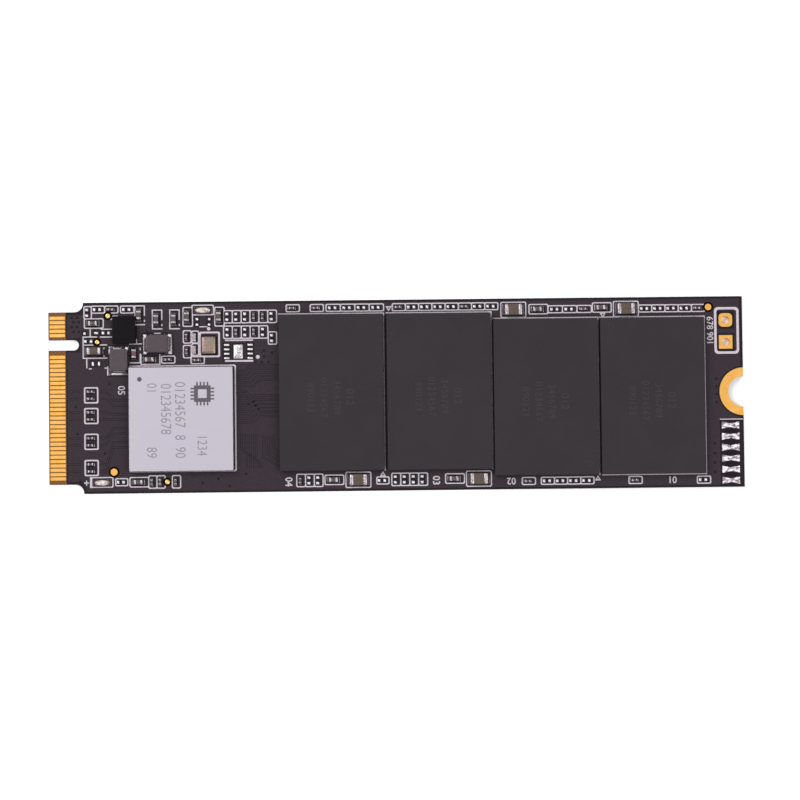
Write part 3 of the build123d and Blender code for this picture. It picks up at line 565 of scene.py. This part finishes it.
def plate(shape, outlines, z_low, z_high, holes=()):
    """A flat sheet of these closed outlines together, less the holes. They may overlap."""
    points, loops = [], []
    for outline in list(outlines) + list(holes):
        turn = sum(a[0] * b[1] - b[0] * a[1] for a, b in zip(outline, outline[1:] + outline[:1]))
        loops.append(list(range(len(points), len(points) + len(outline))))
        points += [Vector(p[:2]) for p in (outline if turn > 0 else outline[::-1])]
    solid = len(outlines)
    found, _, faces, _, _, owners = delaunay_2d_cdt(points, [], loops, 1, WELD)
    kept = [
        face for face, owner in zip(faces, owners)
        if any(i < solid for i in owner) and not any(i >= solid for i in owner)
    ]
    used = sorted({i for face in kept for i in face})
    place = {old: new for new, old in enumerate(used)}
    top = [tuple(place[i] for i in face) for face in kept]
    extrude(shape, [tuple(found[i]) for i in used], top, z_low, z_high)


def rectangle(low, high, by=0.0, corner=0.0):
    """A box's outline, grown outwards by some distance, with rounded corners if asked."""
    left, bottom, right, top = low[0] - by, low[1] - by, high[0] + by, high[1] + by
    if corner:
        return rounded_ring((left, bottom), (right, top), 0.0, corner)
    return [(left, bottom), (right, bottom), (right, top), (left, top)]


def block_outline(x, y, half_x, half_y):
    """A rectangle's outline from its middle and its half sizes."""
    return rectangle((x - half_x, y - half_y), (x + half_x, y + half_y))


def track(path, width):
    """The outline of a copper track along a path, with mitred bends and square ends."""
    left, right = [], []
    for i, point in enumerate(path):
        before = Vector(path[max(i - 1, 0)])
        after = Vector(path[min(i + 1, len(path) - 1)])
        here = Vector(point)
        first = (here - before).normalized() if i else (after - here).normalized()
        second = (after - here).normalized() if i < len(path) - 1 else first
        middle = (first + second).normalized()
        across = Vector((-middle.y, middle.x)) * (width / 2 / max(middle.dot(first), 0.5))
        left.append(tuple(here + across))
        right.append(tuple(here - across))
    return left + right[::-1]


def lettering(shape, text, place, size, turn, heights, stretch, bold):
    """Plain numerals drawn as flat raised shapes, centred on a place and turned in degrees."""
    curve = bpy.data.curves.new("numerals", "FONT")
    curve.body = text
    curve.size = size
    curve.align_x = "CENTER"
    curve.align_y = "CENTER"
    curve.offset = bold
    curve.resolution_u = 3
    made = bpy.data.objects.new("numerals", curve)
    bpy.context.scene.collection.objects.link(made)
    mesh = bpy.data.meshes.new_from_object(made)
    work = bmesh.new()
    work.from_mesh(mesh)
    bmesh.ops.remove_doubles(work, verts=work.verts, dist=size * 1e-4)
    turned = Matrix.Rotation(math.radians(turn), 2)
    flat = [
        tuple(Vector(place) + turned @ Vector((v.co.x * stretch, v.co.y))) for v in work.verts
    ]
    work.verts.index_update()
    top = [tuple(v.index for v in face.verts) for face in work.faces]
    extrude(shape, flat, top, *heights)
    work.free()
    bpy.data.objects.remove(made)
    bpy.data.meshes.remove(mesh)
    bpy.data.curves.remove(curve)


# ---------------------------------------------------------------- chip parts and their solder

TOUCHING = 0.05  # a terminal nearer than this belongs to the body
PAD_REACH = 0.2  # how far past its pad a terminal's middle may lie
BODY_INSET = 0.014  # how far a body lies inside its terminals' skin
BODY_EDGE = 0.6  # a body's rounding as a share of its terminals'

pads = solids_of("component_pads")
pad_top = pads[0][1][2]
bare_pads = solids_of("empty_footprint_pads")


def pad_under(low, high):
    """The pad that lies under a terminal, or None."""
    x, y = centre(low, high)
    near = [pad for pad in pads if overlapping(*pad, (x, y), (x, y), PAD_REACH)]

    def distance(pad):
        pad_x, pad_y = centre(*pad)
        return abs(pad_x - x) + abs(pad_y - y)

    return min(near, key=distance, default=None)


def chip_parts(kind, body_finish, edge, climb):
    """All the chip parts of one kind: rounded bodies, wrapped terminals and solder at each end.

    Edge is how far the terminals are rounded, and climb the share of their height with solder.
    """
    bodies, terminals, solder = Shape(), Shape(), Shape()
    ends = solids_of(kind + "_terminals")
    for low, high in solids_of(kind + "_bodies"):
        mine = [end for end in ends if overlapping(low, high, *end, TOUCHING)]
        full_low = [min([low[i]] + [end[0][i] for end in mine]) for i in range(3)]
        full_high = [max([high[i]] + [end[1][i] for end in mine]) for i in range(3)]
        body_low = [c + BODY_INSET for c in full_low]
        body_high = [c - BODY_INSET for c in full_high]
        rounded_block(bodies, body_low, body_high, edge * BODY_EDGE)
        for end_low, end_high in mine:
            block_low = [end_low[0], end_low[1], full_low[2]]
            block_high = [end_high[0], end_high[1], full_high[2]]
            rounded_block(terminals, block_low, block_high, edge)
            pad = pad_under(block_low, block_high)
            if pad:
                rise = climb * (full_high[2] - full_low[2])
                solder_skirt(solder, pad, block_low, block_high, rise)
    piece(kind + "_ceramic", bodies, body_finish, stands_for=kind + "_bodies")
    piece(kind + "_end_caps", terminals, "tin", stands_for=kind + "_terminals")
    piece(kind + "_solder", solder, "solder")


for chip_kind in (  # (kind, finish of its bodies, edge, climb)
    ("tiny_capacitor", "grey_ceramic", 0.045, 0.6),
    ("small_capacitor", "grey_ceramic", 0.07, 0.6),
    ("input_capacitor", "capacitor_ceramic", 0.1, 0.55),
    ("bulk_capacitor", "capacitor_ceramic", 0.12, 0.5),
    ("resistor", "resistor_ceramic", 0.04, 0.7),
    ("fuse", "fuse_ceramic", 0.05, 0.6),
):
    chip_parts(*chip_kind)

# ---------------------------------------------------------------- solder on the bare pads

MIDDLE_PAD_WIDTH = 1.0  # only the flash footprint's middle pad is wider than this

bare_solder, middle_solder = Shape(), Shape()
for low, high in bare_pads:
    width = min(high[0] - low[0], high[1] - low[1])
    margin = 0.09 * min(width, 0.5)
    dome_low = (low[0] + margin, low[1] + margin, low[2])
    dome_high = (high[0] - margin, high[1] - margin, high[2])
    filled = middle_solder if width > MIDDLE_PAD_WIDTH else bare_solder
    solder_dome(filled, dome_low, dome_high, min(0.14 * width, 0.06), min(width * 0.4, 0.12))
piece("bare_pad_solder", bare_solder, "bare_solder")
piece("middle_pad_solder", middle_solder, "bright_solder")

# ---------------------------------------------------------------- solder balls under the packages

BALL_SIDES = 8
BALL_PROFILE = ((0.72, 0.0), (0.93, 0.2), (1.0, 0.5), (0.93, 0.8), (0.72, 1.0))


def solder_balls(package):
    """Reflowed balls: pressed barrels that are widest at the middle."""
    shape = Shape()
    for low, high in solids_of(package + "_solder_balls"):
        radius, tall = (high[0] - low[0]) / 2, high[2] - low[2]
        profile = [(radius * share, low[2] + tall * rise) for share, rise in BALL_PROFILE]
        lathe(shape, centre(low, high), profile, BALL_SIDES)
    piece(package + "_balls", shape, "solder", stands_for=package + "_solder_balls")


solder_balls("controller")
for number in (1, 2, 3, 4):
    solder_balls(f"memory_{number}")

# ---------------------------------------------------------------- power inductors

CORE_CORNER = 0.42
CORE_FOOT = ((0.03, 0.0), (0.0, 0.04))  # (inset, height above the bottom)
CORE_RIM = ((0.0, 0.09), (0.015, 0.045), (0.05, 0.012), (0.1, 0.0), (0.3, 0.0))  # (inset, depth)
INDUCTOR_PAD = (0.85, 2.2)  # no other pad under a core is this wide and this long
CORE_SOLDER_RISE = 0.3
BEAD_FULLNESS = 5


def bead_boxes(number, left, bottom, right, top):
    """Where solder beads stand up round a core: the left, bottom, right and top of each."""
    if number == 1:
        return (
            (left - 0.17, top - 0.5, left + 0.12, top + 0.17),
            (right - 0.36, top - 0.05, right + 0.06, top + 0.38),
            (left + 0.2, top + 0.12, right - 0.55, top + 0.27),
            (left + 0.08, bottom - 0.38, right - 0.5, bottom - 0.16),
        )
    return (
        (left - 0.4, top - 0.42, left + 0.06, top + 0.14),
        (right - 0.12, top - 0.26, right + 0.36, top + 0.15),
        (left - 0.4, bottom - 0.12, left + 0.05, bottom + 0.2),
        (right - 0.12, bottom - 0.13, right + 0.36, bottom + 0.26),
    )


for number in (1, 2):
    node = f"power_inductor_{number}_core"
    core_low, core_high = box_of(node)
    core, solder, beads = Shape(), Shape(), Shape()
    core.rings(stepped(core_low, core_high, CORE_FOOT, CORE_RIM, CORE_CORNER))
    piece(f"inductor_{number}_body", core, "ferrite", stands_for=node)

    for low, high in pads:
        sides = sorted((high[0] - low[0], high[1] - low[1]))
        large = sides[0] >= INDUCTOR_PAD[0] and sides[1] >= INDUCTOR_PAD[1]
        if large and overlapping(core_low, core_high, low, high):
            inner_low = [max(low[i], core_low[i]) for i in (0, 1)]
            inner_high = [min(high[i], core_high[i]) for i in (0, 1)]
            solder_skirt(
                solder, (low, high), inner_low, inner_high, CORE_SOLDER_RISE,
                corner=0.1, curve=1.4, inner=CORE_CORNER,
            )
    piece(f"inductor_{number}_solder", solder, "solder")

    # the beads are solder at the core's corners, coloured near-white as painted highlight
    for left, bottom, right, top in bead_boxes(number, *core_low[:2], *core_high[:2]):
        width = min(right - left, top - bottom)
        bead_low, bead_high = (left, bottom, pad_top), (right, top, pad_top)
        rise, corner = 0.1 + 0.3 * width, width * 0.45
        solder_dome(beads, bead_low, bead_high, rise, corner, BEAD_FULLNESS)
    piece(f"inductor_{number}_beads", beads, "solder_painted_highlight")

# ---------------------------------------------------------------- light emitting diodes

LENS_HALF_LENGTH = 0.86
LENS_HALF_WIDTH = 0.33
LENS_SIDES = 32
LENS_DOME = (  # (share of the width, share of the height)
    (1.0, 0.0), (0.98, 0.25), (0.92, 0.5), (0.8, 0.74), (0.6, 0.9), (0.35, 0.98), (0.1, 1.0),
)
LED_SOLDER_RISE = 0.16

lens = Shape()
for low, high in solids_of("led_lenses"):
    middle_x, middle_y = centre(low, high)
    rings = []
    for share, rise in LENS_DOME:
        z = low[2] + (high[2] - low[2]) * rise
        rings.append([
            (middle_x + LENS_HALF_LENGTH * x, middle_y + LENS_HALF_WIDTH * y, z)
            for x, y in disc(0.0, 0.0, share, LENS_SIDES)
        ])
    lens.rings(rings)
piece("led_domes", lens, "led_epoxy", stands_for="led_lenses")

led_solder = Shape()
for low, high in solids_of("led_terminals"):
    pad = pad_under(low, high)
    if pad:
        solder_skirt(led_solder, pad, low, high, LED_SOLDER_RISE)
# the LED solder takes the same painted shade as the LED terminals
piece("led_solder", led_solder, "shade_dark_tin")

# ---------------------------------------------------------------- crystal

# a thin welded flange, then a cup with a rounded rim
COVER_FOOT = ((0.0, 0.0), (0.0, 0.035), (0.02, 0.05), (0.13, 0.055))
COVER_RIM = ((0.17, 0.02), (0.2, 0.004), (0.24, 0.0), (0.5, 0.0))
COVER_CORNER = 0.16

cover = Shape()
cover.rings(stepped(*box_of("crystal_lid"), COVER_FOOT, COVER_RIM, COVER_CORNER))
piece("crystal_cover", cover, "crystal_metal", stands_for="crystal_lid")

# ---------------------------------------------------------------- controller marks

MARK_SINK = 0.002  # how far marks are sunk into what they lie on
LID_MARK_RISE = 0.003
LID_DOT_RADIUS = 0.27
LID_NUMERALS = (  # (text, x, y, size)
    ("01", -28.15, 1.0, 1.6),
    ("89", -28.2, -6.38, 1.7),
    ("012345678", -26.55, -1.4, 1.72),
    ("01234567", -24.92, -0.92, 1.74),
    ("8", -24.92, -4.68, 1.74),
    ("90", -24.92, -6.4, 1.74),
    ("1234", -22.42, -5.6, 1.62),
)
GLYPH_X, GLYPH_Y = -22.3, 0.33
GLYPH_HALF = 0.95
GLYPH_WINDOW_HALF = 0.5
LEG_SPOTS = (-0.6, -0.2, 0.2, 0.6)
LEG_REACH = 1.36
LEG_HALF = 0.09

lid_low, lid_high = box_of("controller_lid")
lid_heights = (lid_high[2] - MARK_SINK, lid_high[2] + LID_MARK_RISE)
numerals = Shape()
for text, x, y, size in LID_NUMERALS:
    lettering(numerals, text, (x, y), size, -90, lid_heights, stretch=0.76, bold=-0.01)
piece("controller_numerals", numerals, "lid_mark")

# the pin-one dot, and a plain chip glyph: a square with short legs and an open middle
marks = Shape()
dot = (lid_low[0] + 1.25, lid_high[1] - 1.37)
lathe(marks, dot, [(LID_DOT_RADIUS, z) for z in lid_heights], 24)
glyph = [block_outline(GLYPH_X, GLYPH_Y, GLYPH_HALF, GLYPH_HALF)]
for spot in LEG_SPOTS:
    glyph.append(block_outline(GLYPH_X + spot, GLYPH_Y, LEG_HALF, LEG_REACH))
    glyph.append(block_outline(GLYPH_X, GLYPH_Y + spot, LEG_REACH, LEG_HALF))
window = block_outline(GLYPH_X, GLYPH_Y, GLYPH_WINDOW_HALF, GLYPH_WINDOW_HALF)
plate(marks, glyph, *lid_heights, [window])
piece("controller_glyph", marks, "lid_mark_dark")

# ---------------------------------------------------------------- numerals in the legend ink

INK_RISE = 0.01
BOARD_NUMERALS = (  # (text, x, y, size, turn in degrees)
    ("04", -12.53, -9.88, 1.15, -90),
    ("03", 4.43, -9.9, 1.15, -90),
    ("02", 13.1, -10.03, 1.1, 180),
    ("01", 31.65, -10.08, 1.1, 180),
    ("05", -31.68, 0.85, 1.15, -90),
    ("678 901", 36.22, 7.05, 1.05, -90),
)

board_low, board_high = box_of("solder_mask_top")
mask_top = board_high[2]
ink_heights = (mask_top - MARK_SINK, mask_top + INK_RISE)
legend = Shape()
for text, x, y, size, turn in BOARD_NUMERALS:
    lettering(legend, text, (x, y), size, turn, ink_heights, stretch=0.95, bold=0.012)
piece("legend_numerals", legend, "ink")

# ---------------------------------------------------------------- memory packages

MEMORY_ROWS = (("012", 1.3), ("3456789", 1.15), ("01234567", 1.15), ("890123", 1.15))
ROW_PITCH = 1.5
FIRST_ROW = (2.1, -0.6)  # from the package's middle
TURNED_PACKAGES = (2, 4)  # these lie half a turn round from the others
DIMPLE_IN_HIGH, DIMPLE_IN_LOW = 1.0, 1.2  # the pin-one dimple, from the package's sides

faint, dimples = Shape(), Shape()
for number in (1, 2, 3, 4):
    low, high = box_of(f"memory_{number}_mould_cap")
    x, y = centre(low, high)
    top = high[2]
    mark_heights = (top - MARK_SINK, top + 0.0015)
    for row, (text, size) in enumerate(MEMORY_ROWS):
        place = (x + FIRST_ROW[0] - ROW_PITCH * row, y + FIRST_ROW[1])
        lettering(faint, text, place, size, -90, mark_heights, stretch=1.0, bold=-0.01)
    if number in TURNED_PACKAGES:
        dimple = (low[0] + DIMPLE_IN_LOW, high[1] - DIMPLE_IN_HIGH)
    else:
        dimple = (high[0] - DIMPLE_IN_HIGH, low[1] + DIMPLE_IN_LOW)
    ring = [(0.3, top - 0.002), (0.3, top + 0.002), (0.26, top + 0.002), (0.24, top - 0.001)]
    lathe(dimples, dimple, ring, 24)
piece("memory_numerals", faint, "memory_mark")
piece("memory_pin_one_marks", dimples, "memory_mark")

# ---------------------------------------------------------------- copper under the lacquer

RELIEF_SINK = 0.004
POUR_RISE, TRACK_RISE, BETWEEN_RISE = 0.003, 0.0035, 0.002
TRACK_WIDTH = 0.13
TRACK_GAP_WIDTH = 0.25  # the pour keeps this much clear for each track
PAD_GAP = 0.2
NOTCH_GAP_RADIUS = 2.95
CAPACITOR_ROWS = (0.33, -2.05, -5.02, -8.03)  # the framed pairs beside the contacts, in Y

test_points = solids_of("test_points")
lacquer_low = mask_top - RELIEF_SINK


def pour_edge():
    """The pour's outline, set back from the card's edge."""
    left, right = board_low[0] + 0.15, board_high[0] - 0.3
    bottom, top = board_low[1] + 0.25, board_high[1] - 0.25
    shoulder, tongue_y = left + 2.2, 9.6
    return [
        (shoulder, bottom), (right, bottom), (right, top), (shoulder, top),
        (shoulder - 0.5, tongue_y), (left, tongue_y),
        (left, -tongue_y), (shoulder - 0.5, -tongue_y),
    ]


def pour_gaps():
    """What the pour stays clear of: pads, test points, header, screw notch and key slot."""
    gaps = [rectangle(*pad, PAD_GAP, 0.12) for pad in pads + bare_pads]
    for low, high in test_points:
        gaps.append(disc(*centre(low, high), (high[0] - low[0]) / 2 + PAD_GAP))
    gaps.append(rectangle(*box_of("header_hole_round_plating"), 0.25))
    gaps.append(rectangle(*box_of("header_hole_square_plating"), 0.25))
    gaps.append(disc(board_high[0], 0.0, NOTCH_GAP_RADIUS, 48))
    gaps.append(rectangle(*box_of("debug_pads"), 0.22))
    gaps.append(rectangle((-40.5, 5.3), (-36.3, 6.95)))
    return gaps


def track_paths():
    """The tracks that show through: from the controller to the memory, and from the contacts."""
    paths = []
    for lane in range(15):
        y = 2.9 - 0.42 * lane
        bend = 0.5 + 0.26 * (lane % 5)
        shift = (-1) ** (lane // 5) * 0.7
        paths.append([
            (-18.5, y), (-18.0 + bend, y), (-17.3 + bend, y + shift), (-13.4, y + shift),
        ])
    for lane in range(5):
        x, drop = -17.9 + 0.42 * lane, 0.3 * lane
        paths.append([(x, -4.3), (x, -6.0 - drop), (x + 0.6, -6.6 - drop), (x + 0.6, -8.3)])
    for lane in range(4):
        x, y = -15.4 + 0.4 * lane, -7.0 + 0.35 * lane
        paths.append([(x, -4.5), (x, y), (-13.4, y - (-13.4 - x) * 0.6)])
    for row, row_y in enumerate(CAPACITOR_ROWS):
        for side in (-1, 1):
            y = row_y + side * 0.41
            goal = -0.6 - 1.6 * row + side * 0.3
            paths.append([(-37.9, y), (-36.3, y)])
            paths.append([(-34.2, y), (-33.4, y), (-32.6, goal), (-30.9, goal)])
    return paths


pour, tracks = Shape(), Shape()
paths = track_paths()
gaps = pour_gaps() + [track(path, TRACK_GAP_WIDTH) for path in paths]
plate(pour, [pour_edge()], lacquer_low, mask_top + POUR_RISE, gaps)
piece("lacquer_over_pour", pour, "mask_relief", smooth=False)
for path in paths:
    plate(tracks, [track(path, TRACK_WIDTH)], lacquer_low, mask_top + TRACK_RISE)
piece("lacquer_over_tracks", tracks, "mask_relief", smooth=False)

# ---------------------------------------------------------------- vias

VIA_PROFILE = ((0.15, -0.004), (0.15, 0.006), (0.11, 0.007), (0.06, 0.0035), (0.02, 0.002))
LONE_VIAS = (
    (-36.9, -1.0), (-36.7, -4.1), (-33.6, -6.4), (-33.0, 1.6), (-36.4, -9.6), (-25.0, 8.0),
    (-28.6, 7.5), (-15.2, 4.6), (-15.2, 5.3), (-14.3, 5.0), (-17.4, -8.9), (-20.6, -9.4),
    (-22.4, -9.9), (-19.3, -10.3),
)

via_spots = [(-37.3 + 0.62 * (i % 2) + 0.2 * (i // 2 % 2), 9.3 - 0.55 * (i // 2)) for i in range(8)]
via_spots += [(-16.2 + 0.75 * (i % 3), 3.95 - 0.62 * (i // 3)) for i in range(3)]
via_spots += LONE_VIAS
via_spots += [(36.9, -1.2 + 0.9 * i) for i in range(4)] + [(36.6, -6.0 - 1.1 * i) for i in range(4)]
vias = Shape()
for spot in via_spots:
    lathe(vias, spot, [(radius, mask_top + rise) for radius, rise in VIA_PROFILE], 14)
piece("tented_vias", vias, "via_lacquer_and_shade")

# ---------------------------------------------------------------- test points and waisted pads

HALO_REACH, HALO_OVERLAP = 0.2, 0.03  # outwards from a test point's rim, and inwards over it
SMALL_TEST_POINT = 0.35  # test points with a radius under this carry a dimpled button
BUTTON_PROFILE = (  # (share of the radius, height above the rim)
    (0.9, -0.002), (0.86, 0.01), (0.7, 0.018), (0.45, 0.018), (0.3, 0.006), (0.12, 0.003),
)

# each test point lies in a dark clearance
halos, buttons = Shape(), Shape()
for low, high in test_points:
    (x, y), radius, rim = centre(low, high), (high[0] - low[0]) / 2, high[2]
    inner, outer = disc(x, y, radius - HALO_OVERLAP, 32), disc(x, y, radius + HALO_REACH, 32)
    plate(halos, [outer], lacquer_low, rim + 0.003, [inner])
    if radius < SMALL_TEST_POINT:
        profile = [(radius * share, rim + rise) for share, rise in BUTTON_PROFILE]
        lathe(buttons, (x, y), profile, 28)
piece("test_point_clearances", halos, "clearance", smooth=False)
piece("test_point_buttons", buttons, "pale_gold")

# a darker lacquer sheet between the waisted pads, as painted shade between them
between = Shape()
waisted = sorted(solids_of("debug_pads"), key=lambda box: box[0][1])
for below, above in zip(waisted, waisted[1:]):
    low = (below[0][0] + 0.25, below[1][1] + 0.03)
    high = (below[1][0] - 0.25, above[0][1] - 0.03)
    plate(between, [rectangle(low, high, 0.0, 0.1)], lacquer_low, mask_top + BETWEEN_RISE)
piece("painted_shade_between_pads", between, "via_lacquer_and_shade", smooth=False)


# ---------------------------------------------------------------- floor, light and camera

FLOOR_HALF = 3.0  # metres
FLOOR_GAP = 0.02  # between the floor and the card's underside
GLOW_OUTSIDE, GLOW_UNDER_END = 0.5, 0.1


def floor_finish():
    """Back-lit white acrylic, which keeps the slot and the notch as pale as the open floor.

    The glow fades under the screw end, where the header holes would look lit by it.
    """
    pale = tone(243, 243, 245)
    made = Finish("studio_paper", pale, 0.9, specular=0.2)
    made.set("Base Color", made.blend(made.noise(0.02, 3.0), pale, tone(246, 246, 248)))
    made.set("Emission Color", (1, 1, 1, 1))
    x, y = made.axis("X"), made.math("ABSOLUTE", made.axis("Y"))
    under = made.span(x, 10.0, 36.0, GLOW_OUTSIDE, GLOW_UNDER_END)
    past_end = made.span(x, 39.6, 40.4, GLOW_UNDER_END, GLOW_OUTSIDE)
    past_side = made.span(y, 10.6, 11.4, GLOW_UNDER_END, GLOW_OUTSIDE)
    glow = made.math("MAXIMUM", made.math("MAXIMUM", under, past_end), past_side)
    made.set("Emission Strength", glow)
    return made.material


def stage_floor():
    """A large plain floor just under the card."""
    mesh = bpy.data.meshes.new("studio_floor")
    corners = [(x * FLOOR_HALF, y * FLOOR_HALF, 0) for x, y in ((-1, -1), (1, -1), (1, 1), (-1, 1))]
    mesh.from_pydata(corners, [], [(0, 1, 2, 3)])
    mesh.materials.append(floor_finish())
    floor = bpy.data.objects.new("studio_floor", mesh)
    bpy.context.scene.collection.objects.link(floor)
    floor.location.z = cad_box[0].z - FLOOR_GAP * MM


def soft_light(name, place, size, power):
    """A square softbox that faces the drive."""
    lamp = bpy.data.lights.new(name, "AREA")
    lamp.shape = "SQUARE"
    lamp.size = size
    lamp.energy = power
    light = bpy.data.objects.new(name, lamp)
    bpy.context.scene.collection.objects.link(light)
    light.location = place
    light.rotation_euler = (-Vector(place)).to_track_quat("-Z", "Y").to_euler()


def room():
    """White surroundings that are dim below and brighter above."""
    world = bpy.data.worlds.new("studio_room")
    bpy.context.scene.world = world
    world.use_nodes = True
    tree = world.node_tree
    where = tree.nodes.new("ShaderNodeTexCoord")
    split = tree.nodes.new("ShaderNodeSeparateXYZ")
    climb = tree.nodes.new("ShaderNodeMapRange")
    tree.links.new(where.outputs["Generated"], split.inputs[0])
    tree.links.new(split.outputs["Z"], climb.inputs["Value"])
    climb.inputs["To Min"].default_value = 0.12
    climb.inputs["To Max"].default_value = 0.62
    tree.links.new(climb.outputs[0], tree.nodes["Background"].inputs["Strength"])
    tree.nodes["Background"].inputs["Color"].default_value = (1, 1, 1, 1)


stage_floor()
soft_light("key_softbox", (-0.5, 0.35, 0.8), 0.6, 5.2)
soft_light("fill_softbox", (0.55, -0.3, 0.8), 0.6, 4.2)
room()

# the camera is fitted to the photograph: its place, its turn in degrees, and its lens
CAMERA_PLACE = (-5.89 * MM, -19.87 * MM, 400 * MM)
CAMERA_TURN = (2.775, -0.8692, -0.6598)
CAMERA_LENS = 156.214

camera = bpy.data.cameras.new("camera")
camera.sensor_width = 36
camera.lens = CAMERA_LENS
camera.clip_start = 0.01
camera_object = bpy.data.objects.new("camera", camera)
bpy.context.scene.collection.objects.link(camera_object)
camera_object.location = CAMERA_PLACE
camera_object.rotation_euler = [math.radians(angle) for angle in CAMERA_TURN]
bpy.context.scene.camera = camera_object
bpy.context.scene.view_settings.view_transform = "Standard"
